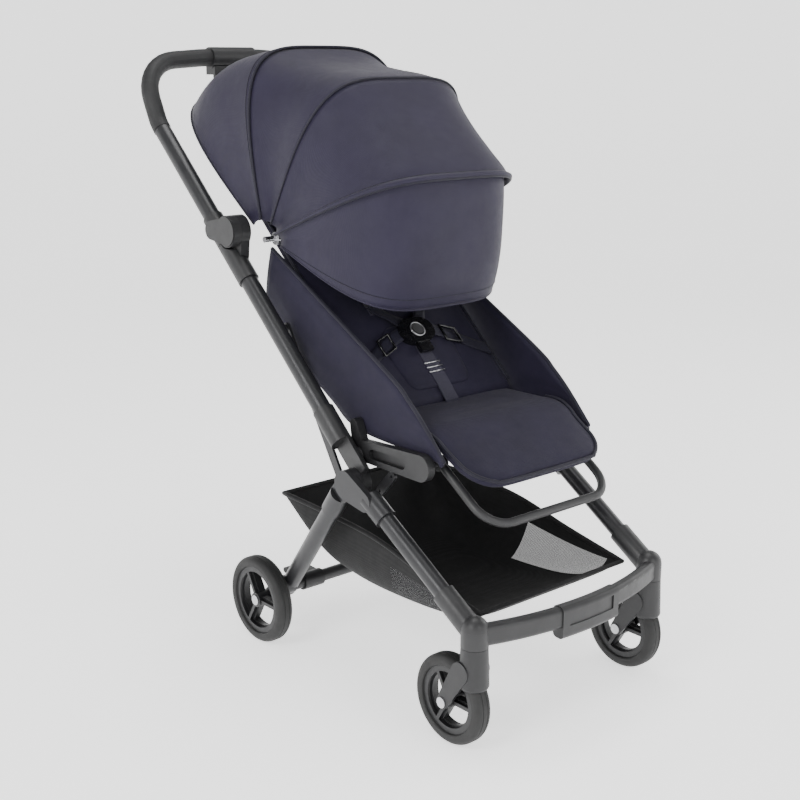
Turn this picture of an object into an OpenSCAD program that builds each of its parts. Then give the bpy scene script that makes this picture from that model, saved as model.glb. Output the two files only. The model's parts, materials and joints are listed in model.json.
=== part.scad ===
// Folding baby stroller. Front is -Y, +Z is up, the frame is mirrored about X = 0.
// Side-view places are written as [y, z] pairs, measured from the seat frame's own zero line.

/* [Wheels] */
// Diameter of the front wheels
front_wheel_d = 142; // [138:1:144]
// Diameter of the rear wheels
rear_wheel_d = 155; // [150:1:157]
// Width of every tyre
tyre_w = 30; // [28:1:31]
// Distance of the front wheels from the mid plane
front_track = 200; // [198:1:202]
// Distance of the rear wheels from the mid plane
rear_track = 210; // [209:1:212]
// Distance of the front axle behind the swivel axis
caster_trail = 45; // [43:1:47]

/* [Frame] */
// Outside diameter of the side tubes and the handle's legs
tube_d = 30; // [28:1:31]
// Outside diameter of the front legs
front_leg_d = 28; // [26:1:29]
// Outside diameter of the rear legs
rear_leg_d = 30; // [28:1:31]
// Wall of every frame tube
tube_wall = 1.8; // [1.2:0.2:2.4]
// Distance of the side tubes from the mid plane
side_x = 200; // [199:1:201]
// Slope of the side tubes against the floor, in degrees
side_angle = 42.8; // [42:0.2:43.6]

/* [Handle] */
// Diameter over the soft grip
grip_d = 32; // [31:0.5:33]
// Height of the grip's middle above the floor
handle_z = 1007; // [1000:1:1010]
// Slope of the handle's upper bow, in degrees
bow_angle = 62; // [60:1:64]

/* [Seat] */
// Width of the seat pad
seat_w = 296; // [280:2:300]
// Thickness of the seat and back pads
pad_t = 24; // [18:1:28]
// Slope of the backrest at its lowest setting, in degrees
back_angle = 43.5; // [42:0.5:44]
// Length of the backrest
back_len = 600; // [560:5:610]

/* [Canopy] */
// Half width of the rear and middle canopy panels
canopy_w = 180; // [176:1:181]
// Height of the canopy's bows above their hinge
canopy_r = 320; // [312:1:322]
// Thickness of the canopy fabric with its lining
canopy_t = 3; // [2:0.5:4]

/* [Basket] */
// Half width of the basket
basket_w = 163; // [155:1:164]
// Thickness of the basket's fabric
basket_t = 3; // [2:0.5:4]

/* [Hidden] */
$fn = 48;

// The seat frame's zero line stands this far in front of the middle of the whole stroller.
mid_y = 133.125;
gap = 0.35;
run = 0.05;

front_wheel_r = front_wheel_d / 2;
rear_wheel_r = rear_wheel_d / 2;
front_axle_at = [-250, front_wheel_r];
rear_axle_at = [236, rear_wheel_r];
caster_y = front_axle_at[0] - caster_trail;
caster_ring_z = 171;

leg_pivot = [-18, 354];
leg_apex = [-18, 368];
along = [cos(side_angle), sin(side_angle)];
upward = [-sin(side_angle), cos(side_angle)];
fold_reach = 473;
fold_offset = 34;
side_foot = leg_apex + 11.5 * upward;
fold_axis = side_foot + fold_offset * upward + fold_reach * along;

front_leg_dir = 212.5;
rear_leg_dir = -50.3;
layer_1 = 200;
layer_2 = 211;
layer_3 = 222;
knuckle_r = 24;

canopy_hinge = [241, 712];
rear_bow_dir = 77;
middle_bow_dir = 118;
front_bow_dir = 156;
visor_end_dir = 202;

leg_rest_axis = [-151, 405];
back_foot = [-14, 440];
back_axis = [6, 442];

// A place in the side view, at a distance from the mid plane
function at(x, p) = [x, p[0], p[1]];
// A point on the side tube's middle line, measured up from its foot
function on_side(s) = side_foot + s * along;
// A point reached from another at an angle above +Y
function polar(p, dir, d) = p + d * [cos(dir), sin(dir)];
function unit(v) = v / norm(v);
function lerp(a, b, t) = a + (b - a) * t;

// Draws the whole stroller with its middle over the origin
module place() {
    translate([0, -mid_y, 0]) children();
}

// Mirrors a part drawn for the left side (+X) to the side asked for
module on(side) {
    if (side > 0) children();
    else mirror([1, 0, 0]) children();
}

// Round bar between two points
module rod(p, q, r) {
    v = q - p;
    translate(p)
        rotate([0, acos(v[2] / norm(v)), atan2(v[1], v[0])])
            cylinder(h = norm(v), r = r);
}

// Points round the bend at b, in the given number of steps
function round_bend(a, b, c, bend, steps) = let (
    u = unit(b - a),
    v = unit(c - b),
    turn = acos(u * v),
    n = unit(v - (u * v) * u),
    centre = b - u * bend * tan(turn / 2) + n * bend
) [for (i = [0:steps]) centre + bend * (sin(turn * i / steps) * u - cos(turn * i / steps) * n)];

// A list of corners with every inner one rounded
function route(points, bends, steps) = let (n = len(points) - 1) concat(
    [points[0]],
    [for (i = [1:n - 1])
        each round_bend(points[i - 1], points[i], points[i + 1], bends[i - 1], steps[i - 1])],
    [points[n]]
);

function direction(path, i) =
    unit(path[min(i + 1, len(path) - 1)] - path[max(i - 1, 0)]);

// One vector across the path at each of its points, carried along without twist
function across(path, i = 0, found = []) = i == len(path) ? found
    : let (
        t = direction(path, i),
        v = i == 0 ? [0, -1, 0] : found[i - 1]
    ) across(path, i + 1, concat(found, [unit(v - (v * t) * t)]));

// Smooth tube along a path, from radius r_in to r_out, with the given number of sides
module sweep(path, r_out, r_in, sides) {
    m = len(path);
    side_of = across(path);
    function ring(r) = [for (k = [0:m - 1], j = [0:sides - 1])
        path[k] + r * (cos(360 * j / sides) * side_of[k]
            + sin(360 * j / sides) * cross(direction(path, k), side_of[k]))];
    function next(j) = (j + 1) % sides;
    inner = m * sides;
    polyhedron(
        points = concat(ring(r_out), ring(r_in)),
        faces = concat(
            [for (k = [0:m - 2], j = [0:sides - 1])
                [(k + 1) * sides + j, (k + 1) * sides + next(j), k * sides + next(j), k * sides + j]],
            [for (k = [0:m - 2], j = [0:sides - 1])
                [inner + k * sides + j, inner + k * sides + next(j),
                    inner + (k + 1) * sides + next(j), inner + (k + 1) * sides + j]],
            [for (j = [0:sides - 1]) [j, next(j), inner + next(j), inner + j]],
            [for (j = [0:sides - 1]) let (k = (m - 1) * sides)
                [k + next(j), k + j, inner + k + j, inner + k + next(j)]]
        ),
        convexity = 8
    );
}

// Disc or shaft along X, from x0 to x1, about a place in the side view
module boss(p, r, x0, x1) {
    translate([x0, p[0], p[1]]) rotate([0, 90, 0]) cylinder(h = x1 - x0, r = r);
}

// Flat side-view outline given thickness along X, from x0 to x1
module slab(x0, x1) {
    translate([x0, 0, 0]) rotate([90, 0, 90]) linear_extrude(height = x1 - x0) children();
}

// Strip of width w between two side-view points, with square ends
module strip(p, q, w) {
    n = unit([p[1] - q[1], q[0] - p[0]]) * w / 2;
    polygon([p + n, p - n, q - n, q + n]);
}

// Side-view outline of a bar that narrows from a round end at p to a round end at q
module link(p, rp, q, rq) {
    dir = atan2(q[1] - p[1], q[0] - p[0]);
    lean = acos((rp - rq) / norm(q - p));
    translate(p) circle(r = rp);
    translate(q) circle(r = rq);
    polygon([
        polar(p, dir + lean, rp), polar(p, dir - lean, rp),
        polar(q, dir - lean, rq), polar(q, dir + lean, rq)
    ]);
}

// Rectangle with round corners, centred
module soft_square(w, h, r) {
    square([w - 2 * r, h], center = true);
    square([w, h - 2 * r], center = true);
    for (x = [-1, 1], y = [-1, 1])
        translate([x * (w / 2 - r), y * (h / 2 - r)]) circle(r = r);
}

// Seat frame: side tubes, leg joints and the fixed half of the fold joint

sleeve_r = tube_d / 2 + 3;
joint_end = 118;
tube_start = 100;
housing_start = fold_reach - 82;
tube_end = fold_reach - 60;

module side_tube(side) {
    color("dimgray") on(side) difference() {
        rod(at(side_x, on_side(tube_start)), at(side_x, on_side(tube_end)), tube_d / 2);
        rod(at(side_x, on_side(tube_start - 1)), at(side_x, on_side(tube_end + 1)),
            tube_d / 2 - tube_wall);
    }
}

module leg_joint(side) {
    color("#202020") on(side) difference() {
        union() {
            difference() {
                rod(at(side_x, on_side(-8)), at(side_x, on_side(joint_end)), sleeve_r);
                slab(layer_1 - gap, 230) strip(on_side(-10), on_side(54), 60);
            }
            boss(leg_pivot, knuckle_r, 184, layer_1 - gap);
            boss(on_side(26), 14, 183.4, 196);
        }
        rod(at(side_x, on_side(tube_start)), at(side_x, on_side(joint_end + 1)),
            tube_d / 2 + run);
        boss(leg_pivot, 6 + run, 180, layer_3);
    }
}

module fold_housing(side) {
    color("#262626") on(side) difference() {
        union() {
            rod(at(side_x, on_side(housing_start)), at(side_x, on_side(fold_reach - gap)),
                sleeve_r);
            boss(fold_axis, 27, 186, 203);
            slab(186, 203) link(fold_axis, 24, on_side(fold_reach - 34), 16);
        }
        boss(fold_axis, 30.4, 203, 230);
        rod(at(side_x, on_side(housing_start - 1)), at(side_x, on_side(tube_end)),
            tube_d / 2 + run);
        boss(fold_axis, 6 + run, 180, 230);
    }
}

module pivot_pins() {
    color("silver") for (side = [-1, 1]) on(side) {
        boss(leg_pivot, 6, 185, layer_3 - 4);
        boss(fold_axis, 6, 187, 215);
    }
}

module seat_bracket(side) {
    color("#1c1c1c") on(side) difference() {
        union() {
            slab(168, 181.9) link([-6, 402], 17, leg_rest_axis, 21);
            slab(168, 181.9) link([-6, 402], 15, back_axis, 9);
            slab(166, 168.5) link([-6, 402], 12, leg_rest_axis, 17);
            boss(leg_rest_axis, 5, 131, 168);
        }
        slab(174, 183) link([-40, 402], 8, [-110, 403], 9);
        boss(back_axis, 4 + run, 160, 172);
    }
}

module bracket_links() {
    color("#3a3a3a") for (side = [-1, 1]) on(side)
        slab(174.5, 180) difference() {
            link([-84, 376], 8, [-56, 346], 8);
            translate([-84, 376]) circle(r = 2.5);
            translate([-56, 346]) circle(r = 2.5);
        }
}

module fold_struts() {
    color("#303030") for (side = [-1, 1]) on(side) {
        slab(173, 178) difference() {
            link([190, 570], 8, [50, 343], 8);
            link([96, 417.6], 2.5, [144, 495.4], 2.5);
        }
        boss([190, 570], 5, 178, 184.9);
    }
}

// Seat

module seat_pad() {
    color("#2b2a3a") translate([0, -77.5, 455 - pad_t])
        linear_extrude(height = pad_t) soft_square(seat_w, 135, 18);
}

module seat_sides() {
    color("#32313f") for (side = [-1, 1]) on(side)
        difference() {
            slab(158, 163) polygon([
                [245, 694], [-65, 526], [-130, 475], [-186, 417], [-182, 411],
                [-160, 419], [12, 428], [150, 505], [262, 612]
            ]);
            boss(back_axis, 4 + run, 150, 170);
        }
}

module crotch_strap() {
    line = [[-30, 457.6], on_back(36, 26.5), on_back(116, 26.2)];
    color("#2b2a3a") slab(-14, 14) polygon(concat(
        [for (i = [0:2]) line[i] + [0, 2]], [for (i = [2:-1:0]) line[i] - [0, 2]]));
}

module back_hinge_rod() {
    color("silver") boss(back_axis, 4, -171, 171);
}

// A place on the backrest: distance up from its foot, and height above its board
function on_back(d, h) = polar(polar(back_foot, back_angle, d), back_angle + 90, h);

// Block on the backrest, from x0 to x1 and d0 to d1, between the heights h0 and h1
module back_block(x0, x1, d0, d1, h0, h1) {
    slab(x0, x1) polygon([on_back(d0, h0), on_back(d1, h0), on_back(d1, h1), on_back(d0, h1)]);
}

module backrest_pad() {
    color("#2b2a3a") multmatrix([
        [1, 0, 0, 0],
        [0, cos(back_angle), -sin(back_angle), back_foot[0]],
        [0, sin(back_angle), cos(back_angle), back_foot[1]],
        [0, 0, 0, 1]
    ])
        translate([0, (34 + back_len) / 2, 0.3])
            linear_extrude(height = pad_t - 2) soft_square(seat_w, back_len - 34, 30);
}

module backrest_board() {
    color("#1a1a1a") difference() {
        union() {
            back_block(-144, 144, 20, back_len - 6, -6, 0);
            boss(back_axis, 7, -150, 150);
            slab(-144, 144) strip(back_axis, on_back(24, -3), 6);
        }
        boss(back_axis, 4 + run, -151, 151);
    }
}

module harness_straps() {
    color("#2b2a3a") for (side = [-1, 1]) on(side)
        back_block(34, 62, 190, 430, pad_t - 1.2, pad_t + 1.8);
}

module strap_adjusters() {
    color("#151515") for (side = [-1, 1]) on(side)
        back_block(31, 65, 205, 222, pad_t + 2.2, pad_t + 7);
}

buckle_at = [0, on_back(138, pad_t + 4)[0], on_back(138, pad_t + 4)[1]];

// Turns a shape drawn flat so that it lies on the buckle's face
module on_buckle() {
    translate(buckle_at) rotate([back_angle, 0, 0]) children();
}

module buckle() {
    color("#141414") on_buckle() difference() {
        union() {
            translate([-12, 0, 0]) cylinder(h = 12, r = 24);
            translate([12, 0, 0]) cylinder(h = 12, r = 24);
            translate([-12, -24, 0]) cube([24, 48, 12]);
            translate([-13, -42, 2]) cube([26, 22, 8]);
        }
        translate([0, 0, 5]) cylinder(h = 8, r = 11 + run);
    }
}

module buckle_button() {
    color("silver") on_buckle() translate([0, 0, 8.5]) cylinder(h = 6, r = 11);
}

// Canopy: shells about one hinge line, each smaller than the one behind it

// Height of a canopy rib at its own angle t, from 0 at one side to 180 at the other
rib_power = 0.5;
function rib_r(r, t) = r * pow(sin(t), rib_power);
function rib_x(w, t) = w * sign(cos(t)) * pow(abs(cos(t)), rib_power);
rib_steps = 24;
rib_edge = 0.11;
function rib_t(i) = lerp(rib_edge, 180 - rib_edge, i / rib_steps);

shell_step_w = canopy_t + 1.5;
shell_step_r = 14;
function shell_w(level) = canopy_w - level * shell_step_w;
function shell_r(level) = canopy_r - level * shell_step_r;

module canopy_sector(level, a0, a1, t) {
    w = shell_w(level);
    r = shell_r(level);
    translate([0, canopy_hinge[0], canopy_hinge[1]]) rotate([90, 0, 90])
        rotate([0, 0, a0]) rotate_extrude(angle = a1 - a0) polygon(concat(
            [for (i = [0:rib_steps]) [rib_r(r, rib_t(i)), rib_x(w, rib_t(i))]],
            [for (i = [rib_steps:-1:0]) [rib_r(r - t, rib_t(i)), rib_x(w - t, rib_t(i))]]
        ));
}

module canopy_bow(level, dir) {
    w = shell_w(level);
    color("#24242c") difference() {
        union() {
            canopy_sector(level, dir - 2, dir, canopy_t);
            for (side = [-1, 1]) on(side)
                boss(canopy_hinge, 15, w - canopy_t - 0.4, w + 0.4);
        }
        boss(canopy_hinge, 5 + run, -w - 1, w + 1);
    }
}

module canopy_clips() {
    color("silver") for (side = [-1, 1]) on(side) {
        boss(canopy_hinge, 5, shell_w(3) - 8, canopy_w + 0.6);
        boss(canopy_hinge, 11, shell_w(3) - 12, shell_w(3) - 8);
    }
}

rear_ribs = 7;
rear_panel_dir = 36;
rear_panel_top = rear_bow_dir - 2 - 0.1;
rear_panel_swell = 66;
function rear_dir(k) = lerp(rear_panel_dir, rear_panel_top, k / rear_ribs);
function rear_r(k) = canopy_r + rear_panel_swell * pow(1 - k / rear_ribs, 1.2);
function rear_point(k, i, t) = let (
    side = polar(canopy_hinge, rear_dir(k), rib_r(rear_r(k) - t, rib_t(i)))
) [rib_x(canopy_w - t, rib_t(i)), side[0], side[1]];

module canopy_rear_panel() {
    n = rib_steps + 1;
    inner = n * (rear_ribs + 1);
    color("#3a3950") polyhedron(
        points = concat(
            [for (k = [0:rear_ribs], i = [0:rib_steps]) rear_point(k, i, 0)],
            [for (k = [0:rear_ribs], i = [0:rib_steps]) rear_point(k, i, canopy_t)]
        ),
        faces = concat(
            [for (k = [0:rear_ribs - 1], i = [0:rib_steps - 1])
                [(k + 1) * n + i, (k + 1) * n + i + 1, k * n + i + 1, k * n + i]],
            [for (k = [0:rear_ribs - 1], i = [0:rib_steps - 1])
                [inner + k * n + i, inner + k * n + i + 1,
                    inner + (k + 1) * n + i + 1, inner + (k + 1) * n + i]],
            [for (i = [0:rib_steps - 1]) [i, i + 1, inner + i + 1, inner + i]],
            [for (i = [0:rib_steps - 1]) let (k = rear_ribs * n)
                [k + i + 1, k + i, inner + k + i, inner + k + i + 1]],
            [for (k = [0:rear_ribs - 1])
                [(k + 1) * n, k * n, inner + k * n, inner + (k + 1) * n]],
            [for (k = [0:rear_ribs - 1])
                [inner + (k + 1) * n - 1, (k + 1) * n - 1,
                    (k + 2) * n - 1, inner + (k + 2) * n - 1]]
        ),
        convexity = 6
    );
}

module canopy_rear_bow() {
    canopy_bow(0, rear_bow_dir);
}

module canopy_middle_panel() {
    color("#34334a") canopy_sector(1, rear_bow_dir + 0.3, middle_bow_dir - 2, canopy_t);
}

module canopy_middle_bow() {
    canopy_bow(1, middle_bow_dir);
}

module canopy_front_panel() {
    color("#3a3950") canopy_sector(2, middle_bow_dir + 0.3, front_bow_dir - 2, canopy_t);
}

module canopy_front_bow() {
    canopy_bow(2, front_bow_dir);
}

module canopy_visor() {
    color("#44435a") difference() {
        union() {
            canopy_sector(3, front_bow_dir + 0.3, visor_end_dir, canopy_t);
            for (side = [-1, 1]) on(side)
                boss(canopy_hinge, 15, shell_w(3) - canopy_t - 0.4, shell_w(3) + 0.4);
        }
        boss(canopy_hinge, 5 + run, -canopy_w, canopy_w);
    }
}

// Basket

module basket() {
    color("#161616") difference() {
        slab(-basket_w, basket_w) polygon([
            [-264, 181], [-268, 202], [-24, 253], [226, 266], [178, 168]
        ]);
        slab(-basket_w + basket_t, basket_w - basket_t) polygon([
            [-264 + basket_t, 181 + basket_t], [-268 + basket_t, 202], [-268 + basket_t, 300],
            [239, 300], [176, 168 + basket_t]
        ]);
    }
}

// Handle

grip_start = 744;
bow_start = at(side_x, on_side(grip_start + 16));
bow_rise = (handle_z - 9 - bow_start[2]) / sin(bow_angle);
bow_corner = at(side_x - 2, polar([bow_start[1], bow_start[2]], bow_angle, bow_rise));
bow_crown = [62, bow_corner[1] + 8, handle_z];
function flip(p) = [-p[0], p[1], p[2]];
function handle_half(s) = [at(side_x, on_side(s)), bow_start, bow_corner, bow_crown];
function handle_path(s) = let (h = handle_half(s)) concat(h, [for (i = [3:-1:0]) flip(h[i])]);
handle_bends = [70, 78, 220, 220, 78, 70];
handle_steps = [3, 9, 2, 2, 9, 3];
grip_sides = 24;
core_r = 12.4;
handle_start = fold_reach + 38;

module handle_tube() {
    color("dimgray") {
        sweep(route(handle_path(grip_start - 20), handle_bends, handle_steps), core_r,
            core_r - tube_wall, grip_sides);
        for (side = [-1, 1]) on(side) difference() {
            rod(at(side_x, on_side(handle_start)), at(side_x, on_side(grip_start - gap)),
                tube_d / 2);
            rod(at(side_x, on_side(handle_start - 1)), at(side_x, on_side(grip_start)),
                core_r + 0.15);
        }
    }
}

module handle_grip() {
    color("#1b1b1b")
        sweep(route(handle_path(grip_start), handle_bends, handle_steps), grip_d / 2,
            core_r + 0.15, grip_sides);
}

module hinge_caps() {
    color("#2e2e2e") for (side = [-1, 1]) on(side) difference() {
        union() {
            rod(at(side_x, on_side(fold_reach + gap)), at(side_x, on_side(fold_reach + 60)),
                sleeve_r);
            boss(fold_axis, 27, 203 + gap, 219);
            boss(fold_axis, 25, 219, 221);
            slab(203 + gap, 219) link(fold_axis, 24, on_side(fold_reach + 34), 16);
        }
        boss(fold_axis, 30.4, 180, 203 + gap);
        rod(at(side_x, on_side(handle_start)), at(side_x, on_side(fold_reach + 61)),
            tube_d / 2 + run);
        boss(fold_axis, 6 + run, 180, 216);
    }
}

control_z = handle_z - 17;
control_y = bow_crown[1];

module fold_control() {
    color("#181818") difference() {
        union() {
            boss([control_y, handle_z], grip_d / 2 + 3.5, -48, 48);
            translate([-46, control_y - 15, control_z - 14]) cube([92, 30, 16]);
            translate([-32, control_y - 13, control_z - 30]) cube([64, 26, 17]);
        }
        boss([control_y, handle_z], grip_d / 2 + run, -49, 49);
        translate([-26, control_y - 14, control_z - 26]) cube([44, 8, 9]);
        translate([0, control_y + 2, control_z - 21]) rotate([-90, 0, 0])
            cylinder(h = 20, r = 6 + run);
    }
}

module fold_slider() {
    color("#3c3c3c") translate([-25.9, control_y - 16, control_z - 25.9])
        cube([30, 9.9, 8.8]);
}

module fold_button() {
    color("silver") translate([0, control_y + 8, control_z - 21]) rotate([-90, 0, 0])
        cylinder(h = 7.5, r = 6);
}

module carry_strap() {
    color("#161616") translate([-10, control_y - 4, control_z - 84]) cube([20, 3, 53.7]);
}

// Legs

rear_end_x = 174;
rear_leg_len = 352;

// Place on a leg's middle line, d from the legs' apex
function on_leg(dir, lean, d) = at(layer_2 - 5 - d * lean, polar(leg_apex, dir, d));

// Plate round the leg pivot, with the sleeve that holds the leg's tube
module leg_top(dir, lean, r, x0, x1) {
    difference() {
        union() {
            slab(x0, x1) link(leg_pivot, knuckle_r, polar(leg_apex, dir, 56), sleeve_r - 2);
            rod(on_leg(dir, lean, 52), on_leg(dir, lean, 98), sleeve_r);
        }
        boss(leg_pivot, 6 + run, x0 - 1, layer_3 - 3);
        rod(on_leg(dir, lean, 80), on_leg(dir, lean, 99), r + run);
    }
}

// Tube of a leg, from its sleeve down to length d, hollow as far as inner
module leg_tube(dir, lean, r, d, inner) {
    difference() {
        rod(on_leg(dir, lean, 80), on_leg(dir, lean, d), r);
        rod(on_leg(dir, lean, 79), on_leg(dir, lean, inner), r - tube_wall);
    }
}

module front_leg(side) {
    lean = 6 / 320;
    color("#555555") on(side) {
        leg_top(front_leg_dir, lean, front_leg_d / 2, layer_2 + gap, layer_3);
        leg_tube(front_leg_dir, lean, front_leg_d / 2, 262, 263);
    }
}

module rear_leg(side) {
    lean = (layer_2 - 5 - rear_end_x) / rear_leg_len;
    color("#4c4c4c") on(side) {
        leg_top(rear_leg_dir, lean, rear_leg_d / 2, layer_1 + gap, layer_2 - gap);
        difference() {
            union() {
                leg_tube(rear_leg_dir, lean, rear_leg_d / 2, rear_leg_len, 325);
                slab(172, 193) link(polar(leg_apex, rear_leg_dir, 336), 17, rear_axle_at, 15);
            }
            boss(rear_axle_at, 4 + run, 160, 200);
        }
    }
}

beam_at = polar(leg_apex, rear_leg_dir, 346);
beam_r = 11;

module rear_axle_beam() {
    color("#2a2a2a") difference() {
        boss(beam_at, beam_r, -172, 172);
        boss(beam_at, beam_r - 2, -173, 173);
    }
}

module brake_pedal() {
    color("#1a1a1a") on(-1) difference() {
        union() {
            boss(beam_at, 15, 104, 146);
            slab(104, 146) link(beam_at, 11, beam_at + [50, 7], 5);
        }
        boss(beam_at, beam_r + run, 103, 147);
    }
}

beam_front_r = 559;
beam_front_y = -337;
beam_front_z = 190;

// Stretch of the curved front beam, half degrees either side of the middle
module front_arc(half, w, h, z) {
    translate([0, beam_front_y + beam_front_r, 0]) rotate([0, 0, -90 - half])
        rotate_extrude(angle = 2 * half, $fn = 200)
            translate([beam_front_r, z]) soft_square(w, h, 8);
}

module front_crosspiece() {
    lean = 6 / 320;
    socket = at(layer_2 - 5 - 250 * lean, polar(leg_apex, front_leg_dir, 250));
    corner = [front_track, caster_y, leg_apex[1] + (caster_y - leg_apex[0]) * tan(front_leg_dir)];
    color("#1e1e1e") difference() {
        union() {
            front_arc(asin(front_track / beam_front_r), 20, 34, beam_front_z);
            front_arc(6.4, 24, 52, beam_front_z - 8);
            for (side = [-1, 1]) on(side) {
                rod(socket, corner, 18);
                translate(corner) sphere(r = 18.3);
                translate([front_track, caster_y, caster_ring_z + gap])
                    cylinder(h = 27, r = 21);
                translate([front_track, caster_y, caster_ring_z + 27]) sphere(r = 20.8);
            }
        }
        for (side = [-1, 1]) on(side) {
            translate([front_track, caster_y, caster_ring_z - 1]) cylinder(h = 33, r = 6 + run);
            rod(socket - (corner - socket) * 0.1, lerp(socket, corner, 0.28),
                front_leg_d / 2 + run);
        }
        translate([0, beam_front_y + beam_front_r, 0]) rotate([0, 0, -95])
            rotate_extrude(angle = 10, $fn = 200)
                translate([beam_front_r + 12, beam_front_z - 2]) soft_square(4, 22, 1.5);
    }
}

// Wheels, drawn about their own axle along X

module round_wheel(p, x) {
    translate([x, p[0], p[1]]) rotate([0, 90, 0]) children();
}

module tyre_section(r, w, r_in, round) {
    translate([r_in, -w / 2 + 3]) square([r - r_in - round, w - 6]);
    translate([r_in + 3, -w / 2]) square([r - r_in - round - 3, w]);
    for (s = [-1, 1]) translate([r_in + 3, s * (w / 2 - 3)]) circle(r = 3);
    for (s = [-1, 1]) translate([r - round, s * (w / 2 - round)]) circle(r = round);
    translate([r_in, -w / 2 + round]) square([r - r_in, w - 2 * round]);
}

module tyre(r, w, r_in) {
    difference() {
        rotate_extrude($fn = 96) tyre_section(r, w, r_in, 10);
        for (s = [-1, 1]) translate([0, 0, s * 4.5]) rotate_extrude($fn = 96)
            translate([r, 0]) circle(r = 0.9);
    }
}

module rim(r, w, spoke_w, hub_w) {
    rim_t = 9;
    difference() {
        union() {
            rotate_extrude($fn = 96) {
                translate([r - rim_t, -w / 2]) square([rim_t, w]);
                translate([r - rim_t - 3, -4]) square([6, 8]);
            }
            cylinder(h = hub_w, r = 13, center = true);
            for (i = [0:2]) rotate([0, 0, 120 * i + 30])
                translate([0, -spoke_w / 2, -5]) cube([r - rim_t + 1, spoke_w, 11]);
            for (i = [0:2]) rotate([0, 0, 120 * i + 30])
                translate([0, -3, -hub_w / 2 + 2]) cube([r - rim_t + 1, 6, hub_w - 4]);
        }
        cylinder(h = hub_w + 2, r = 4 + run, center = true);
    }
}

front_rim_r = front_wheel_r - 17.5;
rear_rim_r = rear_wheel_r - 17.5;

module front_rim(side) {
    color("#2b2b2b") round_wheel(front_axle_at, side * front_track)
        rim(front_rim_r, tyre_w - 8, 13, 26);
}

module front_tyre(side) {
    color("#111111") round_wheel(front_axle_at, side * front_track)
        tyre(front_wheel_r, tyre_w, front_rim_r);
}

module rear_rim(side) {
    color("#2b2b2b") round_wheel(rear_axle_at, side * rear_track)
        rim(rear_rim_r, tyre_w - 8, 15, 26);
}

module rear_tyre(side) {
    color("#111111") round_wheel(rear_axle_at, side * rear_track)
        tyre(rear_wheel_r, tyre_w, rear_rim_r);
}

module rear_axles() {
    color("silver") for (side = [-1, 1]) on(side) {
        boss(rear_axle_at, 4, 171, rear_track + 13.5);
        boss(rear_axle_at, 9, rear_track + 13.2, rear_track + 15);
        boss(rear_axle_at, 8, 168, 171.8);
    }
}

fork_in = tyre_w / 2 + 2;
fork_t = 6.5;

module caster_fork(side) {
    color("#1b1b1b") on(side) difference() {
        union() {
            translate([front_track, caster_y, 0]) rotate_extrude() {
                polygon([[0, 104], [16, 104], [23, 111], [20.8, caster_ring_z - gap],
                    [0, caster_ring_z - gap]]);
                translate([16, 111]) circle(r = 7);
            }
            translate([front_track, caster_y, caster_ring_z - 2]) cylinder(h = 32, r = 6);
            for (x = [-fork_in - fork_t, fork_in])
                slab(front_track + x, front_track + x + fork_t)
                    link([caster_y + 8, 132], 17, front_axle_at, 11);
        }
        round_wheel(front_axle_at, front_track)
            rotate_extrude($fn = 96) tyre_section(front_wheel_r + 1.8, tyre_w + 3.6, 1, 11);
        boss(front_axle_at, 4 + run, front_track - 40, front_track + 40);
    }
}

module front_axle(side) {
    color("silver") on(side) {
        boss(front_axle_at, 4, front_track - fork_in - fork_t, front_track + fork_in + fork_t);
        for (s = [-1, 1]) boss(front_axle_at, 8.5,
            front_track + s * (fork_in + fork_t) - (s < 0 ? 2 : 0),
            front_track + s * (fork_in + fork_t) + (s > 0 ? 2 : 0));
    }
}

// Leg rest

u_bar_r = 7;
u_bar_front = [-262, 329];
u_bar_x = 138;

module leg_rest_tube() {
    dir = atan2(u_bar_front[1] - leg_rest_axis[1], u_bar_front[0] - leg_rest_axis[0]);
    half = [at(u_bar_x, polar(leg_rest_axis, dir, 9)), at(u_bar_x, u_bar_front)];
    color("#2a2a2a") {
        sweep(route([half[0], half[1], flip(half[1]), flip(half[0])], [46, 46], [8, 8]),
            u_bar_r, u_bar_r - 2, 16);
        for (side = [-1, 1]) on(side) difference() {
            boss(leg_rest_axis, 12, 132, 144);
            boss(leg_rest_axis, 5 + run, -160, 160);
        }
    }
}

module leg_rest_panel() {
    color("#2b2a3a") slab(-130, 130) strip([-152, 440], [-244, 387], 18);
}

place() side_tube(-1);  // side_tube_right
place() side_tube(1);  // side_tube_left
place() leg_joint(-1);  // leg_joint_right
place() leg_joint(1);  // leg_joint_left
place() fold_housing(-1);  // fold_housing_right
place() fold_housing(1);  // fold_housing_left
place() seat_bracket(-1);  // seat_bracket_right
place() seat_bracket(1);  // seat_bracket_left
place() bracket_links();
place() fold_struts();
place() pivot_pins();
place() seat_pad();
place() seat_sides();
place() crotch_strap();
place() back_hinge_rod();
place() buckle();
place() buckle_button();
place() canopy_rear_panel();
place() canopy_rear_bow();
place() canopy_clips();
place() canopy_middle_panel();
place() canopy_middle_bow();
place() canopy_front_panel();
place() canopy_front_bow();
place() canopy_visor();
place() basket();
place() backrest_pad();
place() backrest_board();
place() harness_straps();
place() strap_adjusters();
place() handle_tube();
place() handle_grip();
place() hinge_caps();
place() fold_control();
place() carry_strap();
place() fold_slider();
place() fold_button();
place() front_leg(-1);  // front_leg_right
place() front_leg(1);  // front_leg_left
place() front_crosspiece();
place() caster_fork(-1);  // caster_fork_right
place() caster_fork(1);  // caster_fork_left
place() front_axle(-1);  // front_axle_right
place() front_axle(1);  // front_axle_left
place() front_rim(-1);  // front_rim_right
place() front_rim(1);  // front_rim_left
place() front_tyre(-1);  // front_tyre_right
place() front_tyre(1);  // front_tyre_left
place() rear_leg(-1);  // rear_leg_right
place() rear_leg(1);  // rear_leg_left
place() rear_axle_beam();
place() rear_axles();
place() rear_rim(-1);  // rear_rim_right
place() rear_rim(1);  // rear_rim_left
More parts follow.
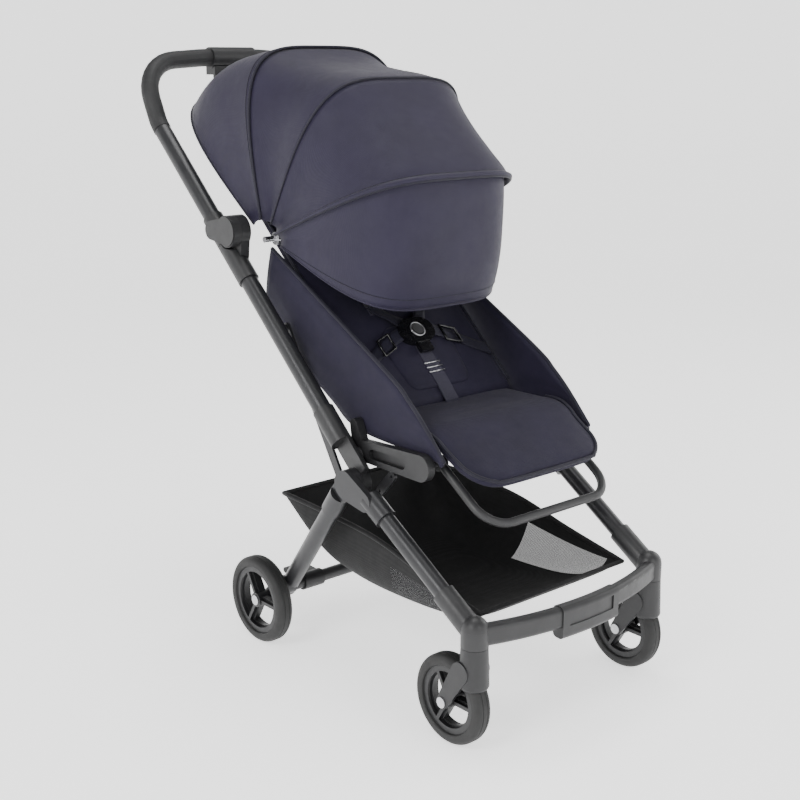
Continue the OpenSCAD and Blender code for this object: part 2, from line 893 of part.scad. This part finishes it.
place() rear_tyre(-1);  // rear_tyre_right
place() rear_tyre(1);  // rear_tyre_left
place() brake_pedal();
place() leg_rest_tube();
place() leg_rest_panel();
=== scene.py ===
import json
import math

import bmesh
import bpy
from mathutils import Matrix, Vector


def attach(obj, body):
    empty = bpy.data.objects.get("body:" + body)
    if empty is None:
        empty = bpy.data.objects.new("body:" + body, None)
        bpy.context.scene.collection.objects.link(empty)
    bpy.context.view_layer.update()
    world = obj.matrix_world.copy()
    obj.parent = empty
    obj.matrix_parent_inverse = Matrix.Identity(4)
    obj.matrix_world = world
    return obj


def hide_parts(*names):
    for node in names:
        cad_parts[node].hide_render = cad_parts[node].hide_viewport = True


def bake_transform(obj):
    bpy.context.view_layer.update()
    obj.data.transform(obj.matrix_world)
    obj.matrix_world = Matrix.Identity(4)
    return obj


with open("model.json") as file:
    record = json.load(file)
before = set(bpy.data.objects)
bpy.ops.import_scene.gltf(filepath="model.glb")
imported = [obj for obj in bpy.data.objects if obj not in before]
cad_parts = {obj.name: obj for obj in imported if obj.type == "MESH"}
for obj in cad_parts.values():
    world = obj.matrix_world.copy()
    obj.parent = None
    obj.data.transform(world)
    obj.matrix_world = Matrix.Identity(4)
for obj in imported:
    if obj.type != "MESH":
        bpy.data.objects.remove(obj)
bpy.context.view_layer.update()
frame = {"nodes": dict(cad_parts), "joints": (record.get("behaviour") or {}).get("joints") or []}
nodes = frame["nodes"]
joints = {j["name"]: j for j in frame["joints"]}
print("frame loaded:", len(nodes), "parts")

# side view places are [y, z] in millimetres from the seat frame's zero line, as in the part's source
zeroY = joints["backrest_recline"]["pos_m"][1] - 0.006


def spot(x, y, z):
    return Vector((x / 1000, y / 1000 + zeroY, z / 1000))


# ---- materials

def addNode(tree, kind, inputs=None, **settings):
    node = tree.nodes.new(kind)
    for key, value in settings.items():
        setattr(node, key, value)
    for key, value in (inputs or {}).items():
        node.inputs[key].default_value = value
    return node


def newMaterial(name, **sockets):
    material = bpy.data.materials.new(name)
    material.use_nodes = True
    tree = material.node_tree
    shader = tree.nodes["Principled BSDF"]
    for key, value in sockets.items():
        shader.inputs[key.replace("_", " ")].default_value = value
    return material, tree, shader


def blotches(tree, shader, low, high, scale, coords):
    # slow change of colour over the surface
    tone = addNode(tree, "ShaderNodeTexNoise", {"Scale": scale, "Detail": 4.0, "Roughness": 0.6})
    ramp = addNode(tree, "ShaderNodeValToRGB")
    ramp.color_ramp.elements[0].position = 0.32
    ramp.color_ramp.elements[1].position = 0.68
    ramp.color_ramp.elements[0].color = (*low, 1)
    ramp.color_ramp.elements[1].color = (*high, 1)
    tree.links.new(coords, tone.inputs["Vector"])
    tree.links.new(tone.outputs["Fac"], ramp.inputs["Fac"])
    tree.links.new(ramp.outputs["Color"], shader.inputs["Base Color"])
    return ramp


def roughen(tree, shader, low, high, scale, coords):
    wear = addNode(tree, "ShaderNodeTexNoise", {"Scale": scale, "Detail": 6.0, "Roughness": 0.7})
    span = addNode(tree, "ShaderNodeMapRange", {"From Min": 0.3, "From Max": 0.7, "To Min": low, "To Max": high})
    tree.links.new(coords, wear.inputs["Vector"])
    tree.links.new(wear.outputs["Fac"], span.inputs["Value"])
    tree.links.new(span.outputs["Result"], shader.inputs["Roughness"])


def grain(tree, shader, height, strength, distance):
    bump = addNode(tree, "ShaderNodeBump", {"Strength": strength, "Distance": distance})
    tree.links.new(height, bump.inputs["Height"])
    tree.links.new(bump.outputs["Normal"], shader.inputs["Normal"])


def moulded(name, low, high, gloss, pores, depth, **sockets):
    # painted metal, plastic and rubber: blotches, uneven gloss and a fine grain
    material, tree, shader = newMaterial(name, **sockets)
    coords = addNode(tree, "ShaderNodeTexCoord").outputs["Object"]
    blotches(tree, shader, low, high, 22.0, coords)
    roughen(tree, shader, gloss - 0.07, gloss + 0.07, 60.0, coords)
    fine = addNode(tree, "ShaderNodeTexNoise", {"Scale": pores, "Detail": 3.0, "Roughness": 0.5})
    tree.links.new(coords, fine.inputs["Vector"])
    grain(tree, shader, fine.outputs["Fac"], depth, 0.0004)
    return material


def woven(name, low, high, thread, depth, gloss, sheen, useUv=False, **sockets):
    # cloth: two crossing sets of threads over slow blotches of colour
    material, tree, shader = newMaterial(name, Sheen_Weight=sheen, Sheen_Roughness=0.45,
                                         Specular_IOR_Level=0.3, **sockets)
    coordNode = addNode(tree, "ShaderNodeTexCoord")
    coords = coordNode.outputs["UV" if useUv else "Object"]
    ramp = blotches(tree, shader, low, high, 14.0, coordNode.outputs["Object"])
    roughen(tree, shader, gloss - 0.06, gloss + 0.06, 45.0, coordNode.outputs["Object"])
    bands = 0.31416 / thread
    warp = addNode(tree, "ShaderNodeTexWave", {"Scale": bands, "Distortion": 0.6, "Detail": 2.0},
                   wave_type="BANDS", bands_direction="X")
    weft = addNode(tree, "ShaderNodeTexWave", {"Scale": bands, "Distortion": 0.6, "Detail": 2.0},
                   wave_type="BANDS", bands_direction="Z" if not useUv else "Y")
    cross = addNode(tree, "ShaderNodeMath", operation="MULTIPLY")
    tree.links.new(coords, warp.inputs["Vector"])
    tree.links.new(coords, weft.inputs["Vector"])
    tree.links.new(warp.outputs["Fac"], cross.inputs[0])
    tree.links.new(weft.outputs["Fac"], cross.inputs[1])
    shade = addNode(tree, "ShaderNodeMix", {"Factor": 0.22}, data_type="RGBA", blend_type="MULTIPLY")
    tree.links.new(ramp.outputs["Color"], shade.inputs["A"])
    tree.links.new(cross.outputs["Value"], shade.inputs["B"])
    tree.links.new(shade.outputs["Result"], shader.inputs["Base Color"])
    grain(tree, shader, cross.outputs["Value"], depth, 0.0005)
    return material


graphite = moulded("graphite paint", (0.016, 0.016, 0.018), (0.023, 0.023, 0.025), 0.36, 1400.0, 0.12,
                   Metallic=0.3, Coat_Weight=0.15, Coat_Roughness=0.3)
darkMoulding = moulded("dark moulding", (0.008, 0.008, 0.009), (0.012, 0.012, 0.013), 0.46, 900.0, 0.2)
jointMoulding = moulded("joint moulding", (0.012, 0.012, 0.013), (0.018, 0.018, 0.019), 0.42, 1000.0, 0.18)
glossMoulding = moulded("buckle moulding", (0.004, 0.004, 0.005), (0.007, 0.007, 0.008), 0.25, 500.0, 0.08,
                        Coat_Weight=0.3)
greyButton = moulded("grey button", (0.035, 0.035, 0.037), (0.05, 0.05, 0.052), 0.4, 900.0, 0.12)
gripFoam = moulded("grip foam", (0.006, 0.006, 0.007), (0.010, 0.010, 0.011), 0.6, 420.0, 0.5)
rimMoulding = moulded("rim moulding", (0.008, 0.008, 0.009), (0.012, 0.012, 0.013), 0.44, 800.0, 0.15)
tyreRubber = moulded("tyre rubber", (0.006, 0.006, 0.006), (0.010, 0.010, 0.010), 0.64, 300.0, 0.45)
steel = moulded("brushed steel", (0.52, 0.52, 0.54), (0.62, 0.62, 0.64), 0.3, 1200.0, 0.15,
                Metallic=1.0, Anisotropic=0.4)
seatCloth = woven("seat cloth", (0.0085, 0.0062, 0.0210), (0.0118, 0.0088, 0.0275), 0.0011, 0.35, 0.74, 0.05)
canopyCloth = woven("canopy cloth", (0.0135, 0.0100, 0.0290), (0.0175, 0.0134, 0.0360), 0.0010, 0.3, 0.58, 0.06)
pipingCloth = woven("piping cloth", (0.0070, 0.0060, 0.0150), (0.0100, 0.0088, 0.0200), 0.0008, 0.3, 0.6, 0.05)
basketCloth = woven("basket cloth", (0.0040, 0.0040, 0.0045), (0.0070, 0.0070, 0.0075), 0.0014, 0.4, 0.75, 0.03)
webbing = woven("webbing", (0.0080, 0.0070, 0.0180), (0.0120, 0.0105, 0.0250), 0.05, 0.5, 0.6, 0.05, useUv=True)
binding = woven("binding tape", (0.0035, 0.0035, 0.0040), (0.0060, 0.0060, 0.0065), 0.0009, 0.4, 0.65, 0.02)


def makeNetting():
    material, tree, shader = newMaterial("netting", Alpha=0.55, Roughness=0.8)
    coords = addNode(tree, "ShaderNodeTexCoord").outputs["Object"]
    blotches(tree, shader, (0.020, 0.020, 0.021), (0.035, 0.035, 0.037), 30.0, coords)
    holes = addNode(tree, "ShaderNodeTexWave", {"Scale": 160.0, "Distortion": 0.4}, wave_type="BANDS",
                    bands_direction="DIAGONAL")
    tree.links.new(coords, holes.inputs["Vector"])
    span = addNode(tree, "ShaderNodeMapRange", {"To Min": 0.5, "To Max": 0.8})
    tree.links.new(holes.outputs["Fac"], span.inputs["Value"])
    tree.links.new(span.outputs["Result"], shader.inputs["Alpha"])
    grain(tree, shader, holes.outputs["Fac"], 0.3, 0.0005)
    return material


netting = makeNetting()

finishes = {
    graphite: ["side_tube_right", "side_tube_left", "handle_tube", "front_leg_right", "front_leg_left",
               "rear_leg_right", "rear_leg_left", "fold_struts", "bracket_links"],
    jointMoulding: ["leg_joint_right", "leg_joint_left", "fold_housing_right", "fold_housing_left",
                    "hinge_caps", "front_crosspiece", "rear_axle_beam", "leg_rest_tube"],
    darkMoulding: ["seat_bracket_right", "seat_bracket_left", "caster_fork_right", "caster_fork_left",
                   "fold_control", "brake_pedal"],
    steel: ["pivot_pins", "back_hinge_rod", "front_axle_right", "front_axle_left", "rear_axles",
            "canopy_clips"],
    glossMoulding: ["buckle"],
    greyButton: ["buckle_button", "fold_slider", "fold_button"],
    gripFoam: ["handle_grip"],
    rimMoulding: ["front_rim_right", "front_rim_left", "rear_rim_right", "rear_rim_left"],
    tyreRubber: ["front_tyre_right", "front_tyre_left", "rear_tyre_right", "rear_tyre_left"],
    seatCloth: ["backrest_board"],
}
for material, names in finishes.items():
    for name in names:
        nodes[name].data.materials.clear()
        nodes[name].data.materials.append(material)
print("materials made")


# ---- ways of making pieces

def keep(bm, name, body, slot, *materials, smooth=True):
    mesh = bpy.data.meshes.new(name)
    bm.to_mesh(mesh)
    bm.free()
    for face in mesh.polygons:
        face.use_smooth = smooth
    for material in materials:
        mesh.materials.append(material)
    piece = bpy.data.objects.new(name, mesh)
    bpy.context.scene.collection.objects.link(piece)
    if body:
        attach(piece, body)
    return piece


def formSheet(across, along, place):
    # a grid whose every point is moved to place(u, v), both from 0 to 1
    bm = bmesh.new()
    bmesh.ops.create_grid(bm, x_segments=across, y_segments=along, size=0.5)
    uv = bm.loops.layers.uv.new("UVMap")
    for face in bm.faces:
        for loop in face.loops:
            loop[uv].uv = (loop.vert.co.x + 0.5, loop.vert.co.y + 0.5)
    for vert in bm.verts:
        vert.co = place(vert.co.x + 0.5, vert.co.y + 0.5)
    return bm


def thicken(piece, thickness, offset=-1.0):
    wall = piece.modifiers.new("thickness", "SOLIDIFY")
    wall.thickness = thickness
    wall.offset = offset
    return piece


def makeCord(name, points, radius, body, slot, material, closed=False, rings=3):
    curve = bpy.data.curves.new(name, "CURVE")
    curve.dimensions = "3D"
    curve.bevel_depth = radius
    curve.bevel_resolution = rings
    curve.use_fill_caps = True
    spline = curve.splines.new("POLY")
    spline.points.add(len(points) - 1)
    for place, point in zip(spline.points, points):
        place.co = (*point, 1)
    spline.use_cyclic_u = closed
    draft = bpy.data.objects.new(name + " draft", curve)
    bpy.context.scene.collection.objects.link(draft)
    bpy.context.view_layer.update()
    mesh = bpy.data.meshes.new_from_object(draft.evaluated_get(bpy.context.evaluated_depsgraph_get()))
    bpy.data.objects.remove(draft)
    bm = bmesh.new()
    bm.from_mesh(mesh)
    bmesh.ops.remove_doubles(bm, verts=bm.verts, dist=0.00001)
    bmesh.ops.recalc_face_normals(bm, faces=bm.faces)
    return keep(bm, name, body, slot, material)


def smoothLine(points, steps=8):
    # Catmull-Rom line through points of any size
    ends = [points[0] * 2 - points[1], *points, points[-1] * 2 - points[-2]]
    line = []
    for a, b, c, d in zip(ends, ends[1:], ends[2:], ends[3:]):
        for i in range(steps):
            t = i / steps
            line.append(0.5 * (2 * b + (c - a) * t + (2 * a - 5 * b + 4 * c - d) * t * t
                               + (3 * b - a - 3 * c + d) * t ** 3))
    return [*line, points[-1]]


def pick(line, t):
    # a point at the share t of a list's length
    k = min(max(t, 0), 1) * (len(line) - 1)
    i = min(int(k), len(line) - 2)
    return line[i].lerp(line[i + 1], k - i)


def makeStrap(name, points, width, body, slot, across=None, thickness=0.0016, material=webbing):
    # flat webbing along a smooth line, its width along across at each point
    line = smoothLine(points, 10)
    sides = smoothLine([Vector(a) for a in across], 10) if across else [Vector((1, 0, 0))] * len(line)
    bm = formSheet(4, len(line) - 1, lambda u, v: pick(line, v) + pick(sides, v).normalized() * width * (u - 0.5))
    length = sum((b - a).length for a, b in zip(line, line[1:]))
    uv = bm.loops.layers.uv.active
    for face in bm.faces:
        for loop in face.loops:
            loop[uv].uv.y *= length / width
    piece = keep(bm, name, body, slot, material)
    thicken(piece, thickness, 0.0)
    return piece


# ---- canopy

canopy = {
    "hinge": (241, 712),
    "power": 0.5,
    "thickness": 0.0022,
    "rear": [(36, 178, 382), (45, 179, 371), (55, 179, 355), (66, 178, 334), (77, 180, 320)],
    "middle": [(76.4, 179.4, 318.6), (83, 173, 296), (91, 170, 283), (101, 170, 281), (110, 173, 288), (118, 176, 297)],
    "front": [(117.4, 175.6, 296.4), (127, 170, 283), (137, 169, 280), (147, 172, 288), (155, 176, 302), (159, 178, 308)],
    "visor": [(156.5, 173, 299), (166, 169, 288), (175, 166, 281), (185, 166, 277), (194, 166, 275), (201, 166, 273)],
}


def archSpot(direction, width, reach, t, power):
    # t runs over the arch from the left side (0) to the right side (1)
    turn = math.radians(0.6 + 178.8 * t)
    c, s = math.cos(turn), math.sin(turn)
    x = width * math.copysign(abs(c) ** power, c)
    r = reach * s ** power
    way = math.radians(direction)
    y, z = canopy["hinge"]
    return spot(x, y + r * math.cos(way), z + r * math.sin(way))


def station(panel, v):
    stops = smoothLine([Vector(s) for s in canopy[panel]], 8)
    return pick(stops, v)


def even(u):
    # closer together at both ends, where an arch turns down to its hinge
    return u * u * (3 - 2 * u) * 0.5 + u * 0.5


def canopyLine(panel, v, lift=0.0, count=96):
    d, w, r = station(panel, v)
    return [archSpot(d, w + lift, r + lift, even(i / count), canopy["power"]) for i in range(count + 1)]


def makePanel(name, panel, body, slot, replaced, rows):
    cut = [station(panel, i / 40) for i in range(41)]

    def place(u, v):
        d, w, r = pick(cut, v)
        return archSpot(d, w, r, even(u), canopy["power"])

    bm = formSheet(72, rows, place)
    bmesh.ops.recalc_face_normals(bm, faces=bm.faces)
    piece = keep(bm, name, body, slot, canopyCloth)
    thicken(piece, canopy["thickness"], 0.0)
    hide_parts(*replaced)
    mid = [archSpot(*pick(cut, v / 20), 0.5, canopy["power"]) for v in range(21)]
    edge = [archSpot(*cut[20], even(u / 60), canopy["power"]) for u in range(61)]
    return piece


makePanel("canopyRearSheet", "rear", "seat_frame", "canopy_fabric", ["canopy_rear_panel", "canopy_rear_bow"], 18)
makePanel("canopyMiddleSheet", "middle", "canopy_middle", "canopy_fabric", ["canopy_middle_panel", "canopy_middle_bow"], 18)
makePanel("canopyFrontSheet", "front", "canopy_front", "canopy_fabric", ["canopy_front_panel", "canopy_front_bow"], 18)
makePanel("canopyVisorSheet", "visor", "canopy_visor", "canopy_fabric", ["canopy_visor"], 18)
print("canopy sheets made")

makeCord("rearBowPiping", canopyLine("rear", 1.0, 1.2), 0.0024, "seat_frame", "canopy_bow", pipingCloth)
makeCord("rearBowSeam", canopyLine("rear", 0.94, 0.8), 0.0012, "seat_frame", "canopy_bow", pipingCloth)
makeCord("rearEdgePiping", canopyLine("rear", 0.0, 0.8), 0.0022, "seat_frame", "canopy_bow", pipingCloth)
makeCord("middleBowPiping", canopyLine("middle", 1.0, 0.8), 0.0018, "canopy_middle", "canopy_bow", pipingCloth)
makeCord("visorHemSeam", canopyLine("visor", 0.88, 1.0), 0.0007, "canopy_visor", "canopy_bow", pipingCloth)
makeCord("visorEdge", canopyLine("visor", 1.0, 0.0), 0.0019, "canopy_visor", "canopy_bow", canopyCloth)


def makeHem():
    # the padded band round the front bow
    low, high = station("front", 0.9), station("front", 1.0)

    def place(u, v):
        d, w, r = low.lerp(high, v)
        puff = 3.2 * math.sin(math.pi * min(max(v, 0.04), 0.96)) + 1.2
        return archSpot(d, w + puff, r + puff, even(u), canopy["power"])

    bm = formSheet(72, 8, place)
    bmesh.ops.recalc_face_normals(bm, faces=bm.faces)
    piece = keep(bm, "frontHemBand", "canopy_front", "canopy_bow", canopyCloth)
    thicken(piece, 0.002, 0.0)
    return piece


makeHem()
makeCord("frontHemPiping", canopyLine("front", 1.0, 1.0), 0.0024, "canopy_front", "canopy_bow", pipingCloth)
makeCord("frontHemSeam", canopyLine("front", 0.885, 1.0), 0.0008, "canopy_front", "canopy_bow", pipingCloth)


# ---- seat and soft goods

pads = {
    "foot": (-14, 440),
    "lean": 43.5,
    "seatLine": [(-6, 444), (-40, 444), (-90, 445), (-126, 446), (-150, 439), (-170, 425), (-205, 405), (-246, 384)],
    "seatThick": 22,
    "backThick": 26,
    "pipe": 0.003,
}


def onBack(d, h):
    a = math.radians(pads["lean"])
    y, z = pads["foot"]
    return Vector((y + d * math.cos(a) - h * math.sin(a), z + d * math.sin(a) + h * math.cos(a)))


def backSpot(x, d, h):
    at = onBack(d, h)
    return spot(x, at.x, at.y)


def rowsFor(length, corner):
    near = [0, 0.6, 1.6, 3, 5, 8, 12, 17, 23, 30, 38, 47]
    near = [n for n in near if n < corner + 8]
    middle = [near[-1] + (length - 2 * near[-1]) * i / 24 for i in range(1, 24)]
    return near + middle + [length - n for n in reversed(near)]


def makePad(name, line, half, thick, corners, body, slot, material, swell=0.0):
    # a stuffed slab along a line in side view; half is its half width at each share of the line
    line = [Vector(p) for p in line]
    steps = [0.0]
    for a, b in zip(line, line[1:]):
        steps.append(steps[-1] + (b - a).length)
    length = steps[-1]
    rows = rowsFor(length, max(corners))

    def at(d):
        for a, b, p, q in zip(steps, steps[1:], line, line[1:]):
            if d <= b:
                return p.lerp(q, (d - a) / max(b - a, 1e-9))
        return line[-1]

    def place(u, v):
        d = rows[round(v * (len(rows) - 1))]
        p = at(d)
        way = (at(min(d + 3, length)) - at(max(d - 3, 0))).normalized()
        n = Vector((-way.y, way.x))
        wide, t = half(d / length), thick / 2
        for left, corner in ((d, corners[0]), (length - d, corners[1])):
            if left < corner:
                wide -= corner - math.sqrt(max(corner ** 2 - (corner - left) ** 2, 0))
            q = thick * 0.6
            if left < q:
                t *= math.sqrt(max(1 - (1 - left / q) ** 2, 0.0))
        turn = 2 * math.pi * u
        c, sn = math.cos(turn), math.sin(turn)
        x = wide * math.copysign(abs(c) ** 0.28, c)
        puff = 1 + swell * (1 - (x / max(wide, 1)) ** 4)
        m = t * math.copysign(abs(sn) ** 0.6, sn) * puff
        return spot(x, p.x + n.x * m, p.y + n.y * m)

    bm = formSheet(96, len(rows) - 1, place)
    bmesh.ops.remove_doubles(bm, verts=bm.verts, dist=0.00002)
    bmesh.ops.recalc_face_normals(bm, faces=bm.faces)
    piece = keep(bm, name, body, slot, material)
    return piece


backLine = [onBack(3 + i * 59.5, 9.2) for i in range(11)]
backPad = makePad("backPad", backLine, lambda t: 149, pads["backThick"], (4, 60), "backrest",
                  "navy_fabric", seatCloth, 0.05)
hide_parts("backrest_pad", "backrest_board")
makePad("pelvisPad", [onBack(30 + i * 12, 20.5) for i in range(12)], lambda t: 66 + 14 * t, 12, (20, 52),
        "backrest", "navy_fabric", seatCloth, 0.1)

seatLine = smoothLine([Vector(p) for p in pads["seatLine"]], 8)
seatPad = makePad("seatCover", seatLine, lambda t: 150 - 9 * max(t - 0.45, 0) / 0.55, pads["seatThick"], (4, 55),
                  None, "navy_fabric", seatCloth, 0.12)
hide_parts("seat_pad", "leg_rest_panel")
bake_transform(seatPad)


def rimLine(lift):
    # along one side of the leg rest, round its end and back
    points = []
    length = len(seatLine) - 1
    for side in (-1, 1):
        run = []
        for i in range(18, length + 1):
            p, q = seatLine[i], seatLine[i - 1]
            n = Vector((-(p - q).y, (p - q).x)).normalized() * -lift
            left = (seatLine[-1] - p).length
            wide = 150 - 9 * max(i / length - 0.45, 0) / 0.55
            if left < 55:
                wide -= 55 - math.sqrt(max(55 ** 2 - (55 - left) ** 2, 0))
            run.append(spot(side * wide, p.x + n.x, p.y + n.y))
        points += run if side < 0 else list(reversed(run))
    return smoothLine(points, 3)


rim = makeCord("seatCoverPiping", rimLine(7), pads["pipe"], None, "navy_fabric", pipingCloth)
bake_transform(rim)
backEdge = [backSpot(-148, d, 17) for d in range(20, 545, 15)]
backEdge += [backSpot(-148 + 60 * (1 - math.cos(a)), 545 + 52 * math.sin(a), 17) for a in (0.4, 0.8, 1.2, 1.57)]
backEdge += [Vector((-p.x, p.y, p.z)) for p in reversed(backEdge)]
makeCord("backPadPiping", backEdge, pads["pipe"], "backrest", "navy_fabric", pipingCloth)

# harness webbing that meets at the buckle
alongBack = (backSpot(0, 10, 0) - backSpot(0, 0, 0)).normalized()
for side in (-1, 1):
    name = "Right" if side < 0 else "Left"
    makeStrap("sideStrap" + name,
              [backSpot(side * 16, 142, 34), backSpot(side * 46, 134, 31), backSpot(side * 80, 120, 26),
               backSpot(side * 118, 98, 23.6), backSpot(side * 144, 84, 22.8)],
              0.024, "backrest", "webbing", [alongBack] * 5)
    makeStrap("shoulderEnd" + name,
              [backSpot(side * 12, 152, 35), backSpot(side * 30, 172, 32), backSpot(side * 46, 192, 27.6),
               backSpot(side * 48, 215, 26.4)],
              0.026, "backrest", "webbing",
              [alongBack * 0.6 + Vector((-side * 0.8, 0, 0)), Vector((-side, 0, 0)), Vector((-side, 0, 0)),
               Vector((-side, 0, 0))])
    hoop = [backSpot(side * 72 + a, 123 + b - a * side * 0.4, 31) for a, b in ((-14, -15), (14, -15), (14, 15), (-14, 15))]
    makeCord("adjuster" + name, hoop, 0.0026, "backrest", "buckle_plastic", glossMoulding, closed=True)
ring = [backSpot(13.4 * math.cos(a), 138 + 13.4 * math.sin(a), 40.6) for a in [math.tau * i / 40 for i in range(40)]]
makeCord("buckleRing", ring, 0.0013, "backrest", "buckle_plastic", steel, closed=True)
for i in range(3):
    makeCord("crotchRung%d" % i, [backSpot(-17, 58 + 9 * i, 29), backSpot(17, 58 + 9 * i, 29)], 0.0013, "backrest",
             "buckle_plastic", steel)
print("pads made")

wings = {
    "upper": [(245, 694), (90, 610), (-65, 526), (-105, 497), (-140, 466), (-186, 417)],
    "lower": [(262, 612), (206, 558), (150, 505), (82, 463), (12, 428), (-160, 419), (-182, 411)],
    "half": 162,
    "thickness": 0.007,
}


def makeWing(side):
    upper = smoothLine([Vector(p) for p in wings["upper"]], 8)
    lower = smoothLine([Vector(p) for p in wings["lower"]], 8)

    def place(u, v):
        at = pick(lower, u).lerp(pick(upper, u), v)
        puff = 3.0 * math.sin(math.pi * v) * (0.6 + 0.4 * math.sin(9 * u))
        return spot(side * (wings["half"] + puff), at.x, at.y)

    name = "Right" if side > 0 else "Left"
    bm = formSheet(60, 12, place)
    bmesh.ops.recalc_face_normals(bm, faces=bm.faces)
    piece = keep(bm, "seatWing" + name, "seat_frame", "navy_fabric", seatCloth)
    thicken(piece, wings["thickness"], 0.0)
    if side > 0:
        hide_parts("seat_sides")
    edge = [spot(side * (wings["half"] + 0.5), p.x, p.y + 1) for p in upper]
    makeCord("wingPiping" + name, edge, 0.0034, "seat_frame", "navy_fabric", pipingCloth)


for side in (-1, 1):
    makeWing(side)
print("seat sides made")

basket = {
    "rim": [(-268, 202), (-146, 226), (-24, 253), (100, 262), (226, 266)],
    "floor": [(-264, 178), (-150, 150), (0, 140), (100, 148), (178, 168)],
    "half": 163,
    "thickness": 0.0022,
}


def makeBasket():
    rim = smoothLine([Vector(p) for p in basket["rim"]], 8)
    floor = smoothLine([Vector(p) for p in basket["floor"]], 8)

    def spread(t):
        # packs rows against both walls
        s = 2 * t - 1
        return math.copysign(1 - (1 - abs(s)) ** 2.0, s)

    def place(u, v):
        a, b = spread(u), spread(v)
        wall = (1 - abs(a) ** 9) ** 0.6 * (1 - abs(b) ** 9) ** 0.6
        at = pick(rim, (b + 1) / 2).lerp(pick(floor, (b + 1) / 2), wall)
        x = basket["half"] * a * (1 - 0.03 * wall)
        return spot(x, at.x, at.y)

    bm = formSheet(64, 72, place)
    bmesh.ops.recalc_face_normals(bm, faces=bm.faces)
    piece = keep(bm, "basketShell", "seat_frame", "basket_fabric", basketCloth, netting)
    uv = piece.data.uv_layers.active.data
    for face in piece.data.polygons:
        u = sum(uv[i].uv.x for i in face.loop_indices) / face.loop_total
        v = sum(uv[i].uv.y for i in face.loop_indices) / face.loop_total
        # the band under the rim and the floor stay solid
        side = abs(spread(u))
        if 0.80 < side < 0.985 and 0.16 < v < 0.46:
            face.material_index = 1
    thicken(piece, basket["thickness"], 0.0)
    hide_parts("basket")
    loop = [spot(-basket["half"], p.x, p.y) for p in rim] + [spot(basket["half"], p.x, p.y) for p in reversed(rim)]
    makeCord("basketBinding", loop, 0.0042, "seat_frame", "basket_fabric", binding, closed=True)


makeBasket()
print("basket made")

for name in ("harness_straps", "crotch_strap", "carry_strap"):
    nodes[name].data.materials.clear()
    nodes[name].data.materials.append(woven(name + " cloth", (0.020, 0.018, 0.034), (0.034, 0.030, 0.054), 0.0009,
                                            0.4, 0.7, 0.15))
nodes["strap_adjusters"].data.materials.clear()
nodes["strap_adjusters"].data.materials.append(steel)


# ---- camera, floor and light

view = {
    "place": (-1.4282, -1.5486 + zeroY, 1.0002),
    "turn": (75.402, 0, -40.847),
    "lens": 58.5,
    "sensor": 36,
}
studio = {
    "floorGlow": 1.15,
    "sky": 0.45,
}
camera = bpy.data.cameras.new("camera")
camera.lens = view["lens"]
camera.sensor_width = view["sensor"]
camera.clip_start = 0.05
cameraObject = bpy.data.objects.new("camera", camera)
cameraObject.location = view["place"]
cameraObject.rotation_euler = [math.radians(a) for a in view["turn"]]
bpy.context.scene.collection.objects.link(cameraObject)
bpy.context.scene.camera = cameraObject


def makeFloor():
    # a pale round floor that turns up into a wall all round
    def place(u, v):
        turn = math.tau * u
        d = 9.0 * v
        rise = 0.0 if d < 5 else 4.0 * ((d - 5) / 4) ** 2.2
        return Vector((d * math.cos(turn), d * math.sin(turn), rise))

    bm = formSheet(72, 48, place)
    bmesh.ops.remove_doubles(bm, verts=bm.verts, dist=0.0001)
    bmesh.ops.recalc_face_normals(bm, faces=bm.faces)
    floorMaterial, tree, shader = newMaterial("pale floor", Roughness=0.9, Emission_Color=(1, 1, 1, 1),
                                              Emission_Strength=studio["floorGlow"])
    coords = addNode(tree, "ShaderNodeTexCoord").outputs["Object"]
    blotches(tree, shader, (0.90, 0.90, 0.90), (0.92, 0.92, 0.92), 2.0, coords)
    mesh = bpy.data.meshes.new("floor")
    bm.to_mesh(mesh)
    bm.free()
    for face in mesh.polygons:
        face.use_smooth = True
    mesh.materials.append(floorMaterial)
    floor = bpy.data.objects.new("floor", mesh)
    bpy.context.scene.collection.objects.link(floor)


makeFloor()
world = bpy.data.worlds.new("studio")
world.use_nodes = True
world.node_tree.nodes["Background"].inputs["Color"].default_value = (1, 1, 1, 1)
world.node_tree.nodes["Background"].inputs["Strength"].default_value = studio["sky"]
bpy.context.scene.world = world

lamps = {
    "left soft box": ((-2.6, -0.6, 2.2), 1.2, 46),
    "front soft box": ((-0.2, -3.0, 1.9), 1.3, 20),
    "top soft box": ((0.2, 0.2, 3.2), 1.6, 42),
    "right soft box": ((2.6, -0.6, 1.8), 1.2, 16),
}
for name, (place, size, power) in lamps.items():
    light = bpy.data.lights.new(name, "AREA")
    light.size = size
    light.energy = power
    lamp = bpy.data.objects.new(name, light)
    lamp.location = place
    lamp.rotation_euler = (Vector((0, 0, 0.5)) - Vector(place)).to_track_quat("-Z", "Y").to_euler()
    bpy.context.scene.collection.objects.link(lamp)
print("camera and light set")
